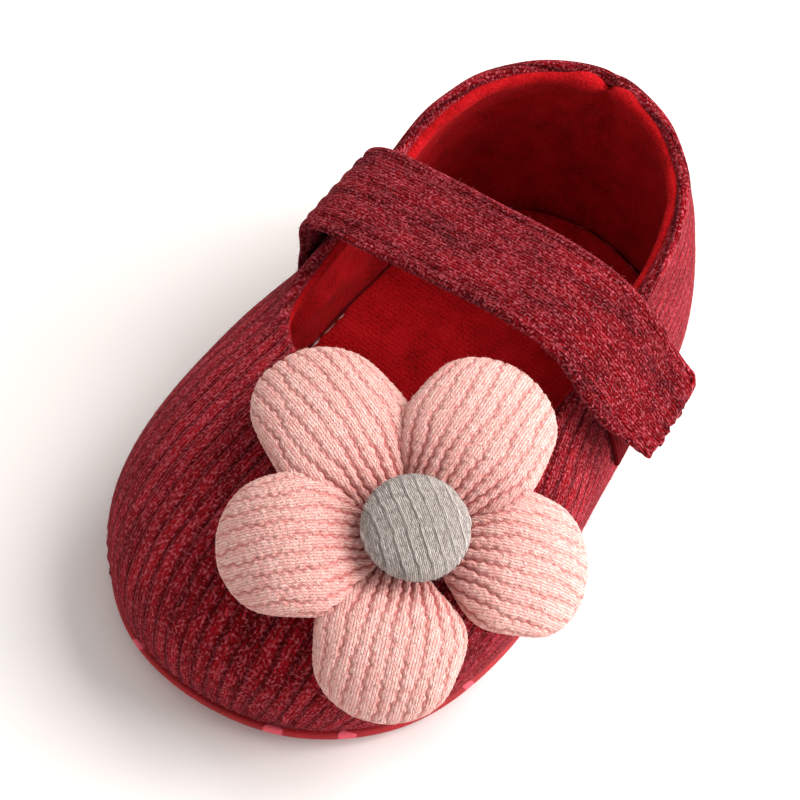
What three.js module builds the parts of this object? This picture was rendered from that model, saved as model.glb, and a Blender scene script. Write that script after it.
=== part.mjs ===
// Baby shoe for the left foot: a soft bar shoe of ribbed knit with a plush lining, a bar strap that
// closes with hook-and-loop tape, a turned cloth sole and a padded five-petal flower on the vamp.
// Millimetres, +Z up. The toe points to -Y and the outer side of the foot is +X. The origin is on the
// floor under the middle of the shoe.
import * as THREE from "three";

// The last
const soleLength = 116;
const ballWidth = 66;
const heelHeight = 43.5;
const toeSpring = 2.6;

// Layers, and the clearance that sewn pieces keep from each other
const upperWall = 2.8;
const soleThickness = 3.2;
const insoleThickness = 3;
const insoleClearance = 0.4;
const strapThickness = 1.8;
const tapeThickness = 0.9;
const seamGap = 0.3;

// Strap and closing tape
const strapWidth = 18.4;
const strapAlong = 0.358; // middle of the strap, as a share of the sole length from the heel
const tapeWidth = 12;
const hookLength = 9;
const loopLength = 15;

// Flower: its seat on the vamp, as shares of the way round the shoe and of the wall's height
const flowerAround = 0.42;
const flowerClimb = 0.705;
const rootHeight = 1.7; // from the vamp to the middle of the petals' gathered ends
const petalRoot = 4; // from the flower's axis to the gathered end of a petal
const petalLength = 26.5;
const petalWidth = 22.5;
const petalThickness = 8.5;
const petalArchHeight = 3; // measure of how far a petal's underside lies below the flower's plane
const buttonDiameter = 17.5;
const buttonHeight = 5.3;

// Facets
const stepsPerSection = 5;
const wallSteps = 9;
const strapSteps = 36;
const strapLines = 4;
const petalFacets = 16;
const buttonFacets = 24;

const table = (columns, rows) =>
  Object.entries(rows).map(([name, values]) =>
    Object.fromEntries([["name", name], ...columns.map((column, i) => [column, values[i]])]),
  );

// Sections round the shoe, from the heel seam along the outer side to the toe and back along the
// inner side. The feather line is where upper and sole meet: along is a share of the sole length from
// the heel, out a share of half the ball width. rimAlong, rimOut and high (a share of the heel height)
// give the topline of collar and throat. swell and rise set how the wall leaves the sole, reach and
// drop how it comes to the topline: shares of half the ball width, and of the heel height.
const sections = table(
  ["along", "out", "swell", "rise", "rimAlong", "rimOut", "high", "reach", "drop"],
  {
    "heel seam": [0, 0, 0.1, 0.34, 0.015, 0, 1, 0.1, 0.26],
    "outer heel turn": [0.03, 0.42, 0.1, 0.34, 0.045, 0.36, 0.99, 0.1, 0.26],
    "outer heel": [0.13, 0.75, 0.1, 0.32, 0.13, 0.64, 0.94, 0.12, 0.26],
    "outer waist": [0.3, 0.86, 0.1, 0.3, 0.275, 0.74, 0.82, 0.12, 0.24],
    "outer instep": [0.46, 0.94, 0.12, 0.3, 0.4, 0.77, 0.73, 0.18, 0.2],
    "outer ball": [0.66, 1.03, 0.14, 0.34, 0.51, 0.69, 0.7, 0.32, 0.06],
    "outer toe side": [0.85, 0.88, 0.13, 0.42, 0.585, 0.46, 0.72, 0.5, 0.05],
    "outer toe turn": [0.965, 0.49, 0.14, 0.48, 0.607, 0.22, 0.74, 0.64, 0.05],
    toe: [1, 0, 0.14, 0.5, 0.612, 0, 0.75, 0.7, 0.05],
    "inner toe turn": [0.967, -0.49, 0.14, 0.48, 0.61, -0.22, 0.74, 0.64, 0.05],
    "inner toe side": [0.85, -0.88, 0.12, 0.42, 0.597, -0.46, 0.72, 0.46, 0.05],
    "inner ball": [0.68, -0.91, 0.1, 0.34, 0.545, -0.69, 0.7, 0.25, 0.07],
    "inner instep": [0.46, -0.84, 0.05, 0.3, 0.42, -0.75, 0.73, 0.12, 0.2],
    "inner waist": [0.3, -0.81, 0.06, 0.3, 0.28, -0.72, 0.82, 0.11, 0.24],
    "inner heel": [0.13, -0.72, 0.1, 0.32, 0.13, -0.61, 0.94, 0.12, 0.26],
    "inner heel turn": [0.03, -0.42, 0.1, 0.34, 0.045, -0.34, 0.99, 0.1, 0.26],
  },
);

// The strap over the opening, from the inner topline to the outer one. out: share of half the ball
// width. high: share of the heel height.
const strapSpan = table(["out", "high", "wide"], {
  fold: [-0.82, 0.83, 1],
  "inner topline": [-0.73, 0.893, 1],
  "inner slope": [-0.46, 0.93, 1],
  middle: [0, 0.972, 0.97],
  crest: [0.32, 0.992, 0.96],
  "outer slope": [0.63, 0.955, 0.97],
});

// The strap down the side walls. climb: share of the wall's height from the sole. off: what the strap
// stands off the wall beyond a seam gap, as a share of the closing tapes' stack.
const strapOnInner = table(["climb", "off", "wide"], {
  end: [0.5, 0, 1],
  lap: [0.74, 0.03, 1],
  bend: [0.93, 0.12, 1],
});
const strapOnOuter = table(["climb", "off", "wide"], {
  bend: [0.96, 1.15, 0.98],
  tape: [0.85, 1.3, 0.98],
  flare: [0.76, 1.9, 0.94],
  end: [0.68, 2.5, 0.88],
});

// Petals round the flower's axis. turn: degrees from the outer side towards the heel. lift: degrees
// over the flower's plane. long: share of the petal length.
const petals = table(["turn", "lift", "long"], {
  petal_1: [24, -6, 0.93],
  petal_2: [93, 4, 1.07],
  petal_3: [160, -3, 1.08],
  petal_4: [222, -2, 0.98],
  petal_5: [294, -7, 0.94],
});

// A petal from its root to its tip. at: share of its length. wide, thick: shares of its width and
// thickness. low: how far its underside lies below the flower's plane, as a share of petalArchHeight.
const petalRows = table(["at", "wide", "thick", "low"], {
  root: [0, 0.17, 0.36, 0.42],
  gathers: [0.12, 0.3, 0.46, 0.17],
  neck: [0.28, 0.6, 0.72, 0.07],
  shoulder: [0.46, 0.88, 0.93, 0.09],
  middle: [0.62, 1, 1, 0.24],
  crown: [0.76, 0.97, 0.95, 0.42],
  bend: [0.88, 0.78, 0.76, 0.52],
  edge: [0.96, 0.47, 0.48, 0.43],
  tip: [0.992, 0.2, 0.22, 0.23],
});

const halfBall = ballWidth / 2;
const up = new THREE.Vector3(0, 0, 1);
const aroundSteps = sections.length * stepsPerSection;
const footHeight = soleThickness + seamGap;
const tapeStack = 2 * (seamGap + tapeThickness) + seamGap;

// Height of the sole's underside over the floor at a share of the length: flat under the heel and the
// ball, lifted at the toe and a little at the back of the heel.
function springAt(along) {
  const toeStart = 0.74;
  const heelEnd = 0.07;
  const heelShare = 0.25;
  const toe = Math.max(0, (along - toeStart) / (1 - toeStart));
  const heel = Math.max(0, (heelEnd - along) / heelEnd);
  return toeSpring * (toe * toe + heelShare * heel * heel);
}

const lengthToY = (along) => (0.5 - along) * soleLength;
const alongOf = (y) => 0.5 - y / soleLength;

// A closed smooth curve through one point for each section.
const ringCurve = (pointOf) => new THREE.CatmullRomCurve3(sections.map(pointOf), true, "centripetal");

const feather = ringCurve(
  (s) => new THREE.Vector3(s.out * halfBall, lengthToY(s.along), footHeight + springAt(s.along)),
);
const topline = ringCurve(
  (s) => new THREE.Vector3(s.rimOut * halfBall, lengthToY(s.rimAlong), s.high * heelHeight),
);
const handles = ringCurve(
  (s) => new THREE.Vector3(s.swell * halfBall, s.rise * heelHeight, s.reach * halfBall),
);
const drops = ringCurve((s) => new THREE.Vector3(0, 0, -s.drop * heelHeight));

// Outward direction in plan of the feather line at a share of the way round.
function outwardAt(around) {
  const tangent = feather.getTangent(around);
  return new THREE.Vector3(-tangent.y, tangent.x, 0).normalize();
}

// The upper's outer face: around goes round the shoe, climb from the sole (0) to the topline (1).
function wallPoint(around, climb) {
  const share = ((around % 1) + 1) % 1;
  const foot = feather.getPoint(share);
  const top = topline.getPoint(share);
  const handle = handles.getPoint(share);
  const outward = outwardAt(share);
  const low = foot.clone().addScaledVector(outward, handle.x).addScaledVector(up, handle.y);
  const high = top.clone().addScaledVector(outward, handle.z).add(drops.getPoint(share));
  return new THREE.CubicBezierCurve3(foot, low, high, top).getPoint(climb);
}

function wallNormal(around, climb) {
  const step = 1e-3;
  const along = wallPoint(around + step, climb).sub(wallPoint(around - step, climb));
  const top = wallPoint(around, Math.min(1, climb + step));
  const rising = top.sub(wallPoint(around, Math.max(0, climb - step)));
  return rising.cross(along).normalize();
}

const wallOffset = (around, climb, off) =>
  wallPoint(around, climb).addScaledVector(wallNormal(around, climb), off);

// The share of the way round at which a side wall, outer or inner, has a given Y.
function aroundAt(y, climb, isOuter) {
  const halvings = 40;
  let low = 0;
  let high = 0.5;
  for (let i = 0; i < halvings; i += 1) {
    const middle = (low + high) / 2;
    const beforeY = wallPoint(isOuter ? middle : -middle, climb).y > y;
    low = beforeY ? middle : low;
    high = beforeY ? high : middle;
  }
  return isOuter ? low : 1 - low;
}

// A closed solid from rows of points. Each row closes on itself. When loop is true the last row joins
// the first, and otherwise the two end rows are filled to their middles.
function solidFromRows(rows, loop = false) {
  const count = rows[0].length;
  const points = rows.flat();
  const faces = [];
  const at = (row, column) => (row % rows.length) * count + (column % count);
  const spans = loop ? rows.length : rows.length - 1;
  for (let row = 0; row < spans; row += 1) {
    for (let column = 0; column < count; column += 1) {
      faces.push([at(row, column), at(row, column + 1), at(row + 1, column + 1)]);
      faces.push([at(row, column), at(row + 1, column + 1), at(row + 1, column)]);
    }
  }
  const fill = (row, from, to) => {
    const sum = rows[row].reduce((total, point) => total.add(point), new THREE.Vector3());
    const centre = points.push(sum.divideScalar(count)) - 1;
    for (let column = 0; column < count; column += 1) {
      faces.push([at(row, column + from), at(row, column + to), centre]);
    }
  };
  if (!loop) {
    fill(0, 1, 0);
    fill(rows.length - 1, 0, 1);
  }
  const flat = points.flatMap((point) => point.toArray());
  const geometry = new THREE.BufferGeometry();
  geometry.setAttribute("position", new THREE.Float32BufferAttribute(flat, 3));
  geometry.setIndex(faces.flat());
  return faceOut(geometry);
}

// Turns the faces of a closed mesh outwards, by the sign of its volume.
function faceOut(geometry) {
  const position = geometry.getAttribute("position");
  const index = geometry.getIndex();
  const corner = (i) => new THREE.Vector3().fromBufferAttribute(position, index.getX(i));
  let volume = 0;
  for (let i = 0; i < index.count; i += 3) {
    volume += corner(i).dot(corner(i + 1).cross(corner(i + 2)));
  }
  for (let i = 0; volume < 0 && i < index.count; i += 3) {
    const second = index.getX(i + 1);
    index.setX(i + 1, index.getX(i + 2));
    index.setX(i + 2, second);
  }
  geometry.computeVertexNormals();
  return geometry;
}

// A padded sheet of even thickness about a grid of middle points, with rounded edges.
function sheetFromGrid(grid, thickness) {
  const edgeShare = 0.35;
  const half = thickness / 2;
  const last = grid[0].length - 1;
  const rows = grid.map((line, row) => {
    const before = grid[Math.max(0, row - 1)];
    const after = grid[Math.min(grid.length - 1, row + 1)];
    const normals = line.map((point, i) => {
      const across = line[Math.min(last, i + 1)].clone().sub(line[Math.max(0, i - 1)]);
      return across.cross(after[i].clone().sub(before[i])).normalize();
    });
    const face = (i, side) => line[i].clone().addScaledVector(normals[i], side * half);
    const edge = (i, inward) => {
      const out = line[i].clone().sub(line[i + inward]).normalize();
      return line[i].clone().addScaledVector(out, edgeShare * thickness);
    };
    const over = line.map((point, i) => face(i, 1));
    const under = line.map((point, i) => face(i, -1)).reverse();
    return [...over, edge(last, -1), ...under, edge(0, 1)];
  });
  return solidFromRows(rows);
}

// Upper: one hollow wall with a rounded topline, open at collar and throat and open underneath.
function makeUpper() {
  const rimSteps = 3;
  const rimTangent = 0.02;
  const climbs = Array.from({ length: wallSteps + 1 }, (unused, i) => i / wallSteps);
  const rows = Array.from({ length: aroundSteps }, (unused, column) => {
    const around = column / aroundSteps;
    const outside = climbs.map((climb) => wallPoint(around, climb));
    const normal = wallNormal(around, 1);
    const rising = wallPoint(around, 1).sub(wallPoint(around, 1 - rimTangent)).normalize();
    const middle = wallOffset(around, 1, -upperWall / 2);
    const rim = [];
    for (let step = 1; step < rimSteps; step += 1) {
      const turn = (Math.PI * step) / rimSteps;
      const point = middle.clone().addScaledVector(normal, (Math.cos(turn) * upperWall) / 2);
      rim.push(point.addScaledVector(rising, (Math.sin(turn) * upperWall) / 2));
    }
    const inside = climbs.map((climb) => wallOffset(around, climb, -upperWall)).reverse();
    return [...outside, ...rim, ...inside];
  });
  return solidFromRows(rows, true);
}

// A ring of the sole's outline, drawn in by inset and then shrunk about the middle.
function outlineRing(inset, shrink, height) {
  return Array.from({ length: aroundSteps }, (unused, column) => {
    const around = column / aroundSteps;
    const point = feather.getPoint(around).addScaledVector(outwardAt(around), -inset);
    point.multiply(new THREE.Vector3(shrink, shrink, 0));
    point.z = springAt(alongOf(point.y)) + height;
    return point;
  });
}

const shrinks = [0.25, 0.5, 0.7, 0.86];

// Outsole: a thin bottom whose edge is rounded up to the seam.
function makeOutsole() {
  const edge = table(["inset", "height"], {
    tread: [2.4, 0],
    "lower round": [0.9, 0.2],
    side: [0, 0.55],
    "upper round": [0.1, 0.85],
    seam: [0.8, 1],
  });
  const inset = edge[0].inset;
  return solidFromRows([
    ...shrinks.map((shrink) => outlineRing(inset, shrink, 0)),
    ...edge.map((row) => outlineRing(row.inset, 1, row.height * soleThickness)),
    ...shrinks.toReversed().map((shrink) => outlineRing(inset, shrink, soleThickness)),
  ]);
}

// Insole: a plush-covered pad inside the upper, on the outsole.
function makeInsole() {
  const inset = upperWall + insoleClearance;
  const round = 0.7;
  const top = footHeight + insoleThickness;
  return solidFromRows([
    ...shrinks.map((shrink) => outlineRing(inset, shrink, footHeight)),
    outlineRing(inset, 1, footHeight),
    outlineRing(inset, 1, top - round),
    outlineRing(inset + round, 1, top),
    ...shrinks.toReversed().map((shrink) => outlineRing(inset + round, shrink, top)),
  ]);
}

const strapY = lengthToY(strapAlong);
const strapBase = seamGap + strapThickness / 2;
const tapeSides = [-1, -0.5, 0, 0.5, 1];

// A middle line of the strap, from the inner wall over the opening to the outer wall. side goes from
// -1 at the front edge to 1 at the back edge.
function strapLine(side) {
  const yAt = (wide) => strapY + (side * wide * strapWidth) / 2;
  const onWall = (row, isOuter) => {
    const around = aroundAt(yAt(row.wide), row.climb, isOuter);
    return wallOffset(around, row.climb, strapBase + row.off * tapeStack);
  };
  const overOpening = (row) =>
    new THREE.Vector3(row.out * halfBall, yAt(row.wide), row.high * heelHeight);
  const points = [
    ...strapOnInner.map((row) => onWall(row, false)),
    ...strapSpan.map(overOpening),
    ...strapOnOuter.map((row) => onWall(row, true)),
  ];
  return new THREE.CatmullRomCurve3(points, false, "centripetal").getPoints(strapSteps);
}

function strapGrid() {
  const sides = Array.from({ length: strapLines + 1 }, (unused, i) => (2 * i) / strapLines - 1);
  const lines = sides.map(strapLine);
  return Array.from({ length: strapSteps + 1 }, (unused, step) => lines.map((line) => line[step]));
}

// A point off the strap's middle surface: place counts grid rows, side goes from -1 to 1 across.
function strapOffset(grid, place, side, off) {
  const lineAt = (line, at) => {
    const row = Math.min(grid.length - 2, Math.floor(at));
    return grid[row][line].clone().lerp(grid[row + 1][line], at - row);
  };
  const column = ((side + 1) / 2) * strapLines;
  const line = Math.min(strapLines - 1, Math.floor(column));
  const pointAt = (at) => lineAt(line, at).lerp(lineAt(line + 1, at), column - line);
  const across = lineAt(line + 1, place).sub(lineAt(line, place));
  const along = pointAt(Math.min(grid.length - 1, place + 1)).sub(pointAt(place - 1));
  return pointAt(place).addScaledVector(across.cross(along).normalize(), off);
}

// Hook tape: lies under the strap's free end, a seam gap off it.
function makeHookTape() {
  const steps = 5;
  const endGap = 1.5;
  const grid = strapGrid();
  const last = grid.length - 1;
  const middleLine = strapLines / 2;
  const rowLength = grid[last][middleLine].distanceTo(grid[last - 1][middleLine]);
  const off = (strapThickness + tapeThickness) / 2 + seamGap;
  const lines = Array.from({ length: steps + 1 }, (unused, i) => {
    const place = last - (endGap + (i / steps) * hookLength) / rowLength;
    return tapeSides.map((side) => strapOffset(grid, place, (side * tapeWidth) / strapWidth, off));
  });
  return sheetFromGrid(lines, tapeThickness);
}

// Loop tape: lies on the outer wall under the strap.
function makeLoopTape() {
  const steps = 6;
  const topClimb = 0.93;
  const base = seamGap + tapeThickness / 2;
  const topAround = aroundAt(strapY, topClimb, true);
  const height = wallPoint(topAround, 1).distanceTo(wallPoint(topAround, 0));
  const lines = Array.from({ length: steps + 1 }, (unused, i) => {
    const climb = topClimb - ((i / steps) * loopLength) / height;
    return tapeSides.map((side) => {
      const around = aroundAt(strapY + (side * tapeWidth) / 2, climb, true);
      return wallOffset(around, climb, base);
    });
  });
  return sheetFromGrid(lines, tapeThickness);
}

// The flower's frame: its plane's middle and its axes towards the outer side, the heel and outwards.
const flowerAxis = wallNormal(flowerAround, flowerClimb);
const flowerOuter = new THREE.Vector3(1, 0, 0).projectOnPlane(flowerAxis).normalize();
const flowerHeel = flowerAxis.clone().cross(flowerOuter);
const flowerCentre = wallOffset(flowerAround, flowerClimb, rootHeight);

const underShare = 0.41; // of a petal's thickness: its padding is flatter on the vamp

function makePetal(petal) {
  const turn = THREE.MathUtils.degToRad(petal.turn);
  const lift = THREE.MathUtils.degToRad(petal.lift);
  const flatWay = flowerOuter
    .clone()
    .multiplyScalar(Math.cos(turn))
    .addScaledVector(flowerHeel, Math.sin(turn));
  const across = flowerAxis.clone().cross(flatWay);
  const way = flatWay
    .multiplyScalar(Math.cos(lift))
    .addScaledVector(flowerAxis, Math.sin(lift));
  const over = way.clone().cross(across);
  const rows = petalRows.map((row) => {
    const thickness = row.thick * petalThickness;
    const centre = flowerCentre
      .clone()
      .addScaledVector(way, petalRoot + row.at * petal.long * petalLength)
      .addScaledVector(over, underShare * thickness - row.low * petalArchHeight);
    return Array.from({ length: petalFacets }, (unused, i) => {
      const angle = (2 * Math.PI * i) / petalFacets;
      const level = Math.sin(angle) * (Math.sin(angle) < 0 ? underShare : 1 - underShare);
      return centre
        .clone()
        .addScaledVector(across, (Math.cos(angle) * row.wide * petalWidth) / 2)
        .addScaledVector(over, level * thickness);
    });
  });
  return solidFromRows(rows);
}

// Height of a petal's upper side over the flower's plane, at a distance from the flower's axis.
function petalTop(petal, distance) {
  const at = (distance - petalRoot) / (petal.long * petalLength);
  const next = Math.max(1, petalRows.findIndex((row) => row.at > at));
  const before = petalRows[next - 1];
  const after = petalRows[next];
  const share = (at - before.at) / (after.at - before.at);
  const thick = THREE.MathUtils.lerp(before.thick, after.thick, share);
  const low = THREE.MathUtils.lerp(before.low, after.low, share);
  const lift = THREE.MathUtils.degToRad(petal.lift);
  return thick * petalThickness - low * petalArchHeight + distance * Math.sin(lift);
}

// Button: a domed knit cover over the petals' roots, on a shank that reaches the vamp between them.
function makeButton() {
  const domeSteps = 6;
  const undersideShare = 0.88;
  const radius = buttonDiameter / 2;
  const underside = undersideShare * radius;
  const shankRadius = petalRoot - 0.5;
  const seatHeight = seamGap + Math.max(...petals.map((petal) => petalTop(petal, underside)));
  const shankFoot = seamGap - rootHeight - seatHeight;
  const dome = new THREE.CubicBezierCurve(
    new THREE.Vector2(radius, buttonHeight * 0.25),
    new THREE.Vector2(radius, buttonHeight * 0.8),
    new THREE.Vector2(radius * 0.6, buttonHeight),
    new THREE.Vector2(0, buttonHeight),
  );
  const outline = [
    new THREE.Vector2(0, shankFoot),
    new THREE.Vector2(shankRadius, shankFoot),
    new THREE.Vector2(shankRadius, 0),
    new THREE.Vector2(underside, 0),
    ...dome.getPoints(domeSteps),
  ];
  const turnUp = new THREE.Quaternion().setFromUnitVectors(new THREE.Vector3(0, 1, 0), flowerAxis);
  const seat = flowerCentre.clone().addScaledVector(flowerAxis, seatHeight);
  return new THREE.LatheGeometry(outline, buttonFacets)
    .applyQuaternion(turnUp)
    .translate(...seat.toArray());
}

const fabric = (color, roughness) =>
  new THREE.MeshStandardMaterial({ color, roughness, metalness: 0 });
const knit = fabric("#8e2237", 0.95);
const soleCloth = fabric("#a01522", 0.8);
const plush = fabric("#c41420", 1);
const petalKnit = fabric("#eeb0a8", 0.95);
const buttonKnit = fabric("#8d8f90", 0.95);
const tapeCloth = fabric("#ece4e0", 0.9);

const shoe = new THREE.Group();

function add(name, geometry, material) {
  const mesh = new THREE.Mesh(geometry, material);
  mesh.name = name;
  shoe.add(mesh);
}

add("upper", makeUpper(), knit);
add("outsole", makeOutsole(), soleCloth);
add("insole", makeInsole(), plush);
add("strap", sheetFromGrid(strapGrid(), strapThickness), knit);
add("hook_tape", makeHookTape(), tapeCloth);
add("loop_tape", makeLoopTape(), tapeCloth);
petals.forEach((petal) => add(petal.name, makePetal(petal), petalKnit));
add("flower_button", makeButton(), buttonKnit);

export default shoe;
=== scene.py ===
"""The looks of a left baby shoe: rib knit, plush lining, bar strap and a padded flower."""

import logging
import math
from collections.abc import Callable
from dataclasses import dataclass, field
from enum import Enum

import bmesh
import bpy
import numpy as np
from mathutils import Matrix, Vector


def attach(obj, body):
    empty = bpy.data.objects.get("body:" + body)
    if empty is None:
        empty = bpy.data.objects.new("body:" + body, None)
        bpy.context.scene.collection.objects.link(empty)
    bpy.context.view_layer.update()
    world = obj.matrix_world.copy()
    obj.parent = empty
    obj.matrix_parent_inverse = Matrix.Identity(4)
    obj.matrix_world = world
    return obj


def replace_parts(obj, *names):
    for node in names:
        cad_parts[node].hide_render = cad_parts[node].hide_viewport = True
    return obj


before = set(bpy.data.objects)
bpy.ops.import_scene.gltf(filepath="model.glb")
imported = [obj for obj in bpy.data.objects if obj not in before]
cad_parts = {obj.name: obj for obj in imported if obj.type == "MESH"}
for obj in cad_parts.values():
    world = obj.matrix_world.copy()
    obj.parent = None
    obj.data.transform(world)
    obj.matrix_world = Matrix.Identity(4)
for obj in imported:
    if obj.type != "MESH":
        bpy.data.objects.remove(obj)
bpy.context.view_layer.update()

LOG = logging.getLogger("shoe")
MM = 0.001
BODY = "root"
JOIN_DISTANCE = 1e-6

Value = "Wire | float | tuple[float, ...]"
Rings = list[list[bmesh.types.BMVert]]


class Slot(Enum):
    """The record's material slots."""

    KNIT = "knit"
    PLUSH = "plush"
    SOLE = "sole_cloth"
    PETAL = "petal_knit"
    BUTTON = "button_knit"
    TAPE = "tape"


def colour(red: int, green: int, blue: int) -> tuple[float, float, float, float]:
    """A colour given as it shows on a screen, 0 to 255, in the shader's linear values.

    Args:
        red: The red share.
        green: The green share.
        blue: The blue share.

    Returns:
        The linear colour with full alpha.
    """
    shares = (value / 255 for value in (red, green, blue))
    linear = (s / 12.92 if s <= 0.04045 else ((s + 0.055) / 1.055) ** 2.4 for s in shares)
    return (*linear, 1.0)


def added(name: str, data: bpy.types.ID) -> bpy.types.Object:
    """Puts a mesh, a light or a camera into the scene as an object."""
    made = bpy.data.objects.new(name, data)
    bpy.context.scene.collection.objects.link(made)
    return made


# Shader maths


def maths(operation: str, swapped: bool = False) -> Callable[..., "Wire"]:
    """Makes a method that adds one Math node.

    Args:
        operation: The node's operation.
        swapped: Whether the wire itself is the last of the inputs.

    Returns:
        The method, which takes the other inputs and gives the node's result.
    """

    def method(self: "Wire", *others: Value) -> "Wire":
        values = (*others, self) if swapped else (self, *others)
        settings = {"operation": operation}
        return self.graph.wire("ShaderNodeMath", settings, dict(enumerate(values)))

    return method


class Wire:
    """A node socket on which Python arithmetic adds Math nodes."""

    __add__ = maths("ADD")
    __radd__ = maths("ADD", swapped=True)
    __sub__ = maths("SUBTRACT")
    __rsub__ = maths("SUBTRACT", swapped=True)
    __mul__ = maths("MULTIPLY")
    __rmul__ = maths("MULTIPLY", swapped=True)
    __truediv__ = maths("DIVIDE")
    __pow__ = maths("POWER")
    __abs__ = maths("ABSOLUTE")
    floor = maths("FLOOR")
    fract = maths("FRACT")
    sin = maths("SINE")
    over = maths("GREATER_THAN")
    most = maths("MAXIMUM")
    least = maths("MINIMUM")

    def __init__(self, graph: "Graph", socket: bpy.types.NodeSocket) -> None:
        """Wraps one output socket of a node tree."""
        self.graph = graph
        self.socket = socket

    def step(self, low: float, high: float) -> "Wire":
        """A smooth step from 0 at low to 1 at high."""
        settings = {"interpolation_type": "SMOOTHSTEP"}
        return self.graph.wire("ShaderNodeMapRange", settings, {0: self, 1: low, 2: high})


class Graph:
    """A node tree, and the one method that adds a node to it."""

    def __init__(self, tree: bpy.types.NodeTree) -> None:
        """Takes an empty node tree."""
        self.tree = tree

    def node(self, kind: str, settings: dict, inputs: dict) -> bpy.types.Node:
        """Adds a node.

        Args:
            kind: The node's type.
            settings: Its own settings, and stops for a colour ramp, which are set first.
            inputs: Values or wires, by the sockets' names or numbers.

        Returns:
            The new node.
        """
        made = self.tree.nodes.new(kind)
        for name, value in settings.items():
            if name == "stops":
                self._set_stops(made.color_ramp, value)
            else:
                setattr(made, name, value)
        for key, value in inputs.items():
            if isinstance(value, Wire):
                self.tree.links.new(value.socket, made.inputs[key])
            else:
                made.inputs[key].default_value = value
        return made

    def wire(self, kind: str, settings: dict, inputs: dict, output: int | str = 0) -> Wire:
        """Adds a node and wraps one of its outputs."""
        return Wire(self, self.node(kind, settings, inputs).outputs[output])

    @staticmethod
    def _set_stops(ramp: bpy.types.ColorRamp, stops: list[tuple]) -> None:
        """Gives a colour ramp its stops, each a place and a colour."""
        while len(ramp.elements) < len(stops):
            ramp.elements.new(1.0)
        for element, (place, shade) in zip(ramp.elements, stops):
            element.position = place
            element.color = shade


class Shader(Graph):
    """A material's node tree, with the patterns that the finishes share."""

    def __init__(self, name: str) -> None:
        """Starts an empty material of that name."""
        self.material = bpy.data.materials.new(name)
        self.material.use_nodes = True
        super().__init__(self.material.node_tree)
        self.tree.nodes.clear()

    def uv(self) -> tuple[Wire, Wire]:
        """The piece's own cloth coordinates, in metres across and along the wales."""
        return self.split(self.wire("ShaderNodeUVMap", {"uv_map": "cloth"}, {}))

    def place(self) -> Wire:
        """The point in the shoe's own frame, in metres."""
        return self.wire("ShaderNodeTexCoord", {}, {}, "Object")

    def attribute(self, name: str) -> Wire:
        """A number kept on the piece's vertices."""
        return self.wire("ShaderNodeAttribute", {"attribute_name": name}, {}, "Fac")

    def split(self, vector: Wire) -> tuple[Wire, Wire]:
        """The first two parts of a vector."""
        node = self.node("ShaderNodeSeparateXYZ", {}, {0: vector})
        return Wire(self, node.outputs[0]), Wire(self, node.outputs[1])

    def join(self, x: Value, y: Value, z: Value = 0.0) -> Wire:
        """A vector of three numbers."""
        return self.wire("ShaderNodeCombineXYZ", {}, {0: x, 1: y, 2: z})

    def chance(self, vector: Wire) -> Wire:
        """A random number for each cell of a vector of whole numbers."""
        return self.wire("ShaderNodeTexWhiteNoise", {"noise_dimensions": "3D"}, {"Vector": vector})

    def noise(self, vector: Wire, scale: float, detail: float = 2.0, rough: float = 0.5) -> Wire:
        """Soft noise from about 0 to 1.

        Args:
            vector: Where it is read, in metres.
            scale: How many lumps there are in a metre.
            detail: How many finer layers there are.
            rough: How strong the finer layers are.

        Returns:
            The noise.
        """
        inputs = {"Vector": vector, "Scale": scale, "Detail": detail, "Roughness": rough}
        return self.wire("ShaderNodeTexNoise", {}, inputs)

    def curls(self, spot: Wire, size: float, share: float) -> Wire:
        """Short curled fibres lying on a cloth.

        Args:
            spot: The cloth coordinates.
            size: How wide a curl is, in metres.
            share: How many of the curls show, from 0 to 1.

        Returns:
            1 on a fibre and 0 beside it.
        """
        line = abs(self.noise(spot, 1 / size, 1.0) - 0.5)
        thin = 1 - line.step(0.045, 0.12)
        patch = self.noise(spot, 1.7 / size, 0.0)
        return thin * patch.step(0.62 - share * 0.3, 0.72 - share * 0.3)

    def ramp(self, factor: Wire, stops: list[tuple]) -> Wire:
        """A colour ramp."""
        return self.wire("ShaderNodeValToRGB", {"stops": stops}, {0: factor})

    def mix(self, factor: Value, first: Value, second: Value, blend: str = "MIX") -> Wire:
        """A mix of two colours."""
        settings = {"data_type": "RGBA", "blend_type": blend}
        return self.wire("ShaderNodeMix", settings, {0: factor, 6: first, 7: second}, 2)

    def finish(self, base: Value, height: Wire, depth: float, fixed: dict) -> bpy.types.Material:
        """Closes the tree with a Principled shader.

        Args:
            base: The colour.
            height: The relief, from 0 to about 1.
            depth: The relief's depth in metres.
            fixed: The shader's other sockets that are the same all over, and roughness.

        Returns:
            The material.
        """
        bump = self.wire("ShaderNodeBump", {}, {"Distance": depth, "Height": height})
        inputs = {"Base Color": base, "Normal": bump, **fixed}
        surface = self.wire("ShaderNodeBsdfPrincipled", {}, inputs)
        self.node("ShaderNodeOutputMaterial", {}, {0: surface})
        return self.material


# Finishes


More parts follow.
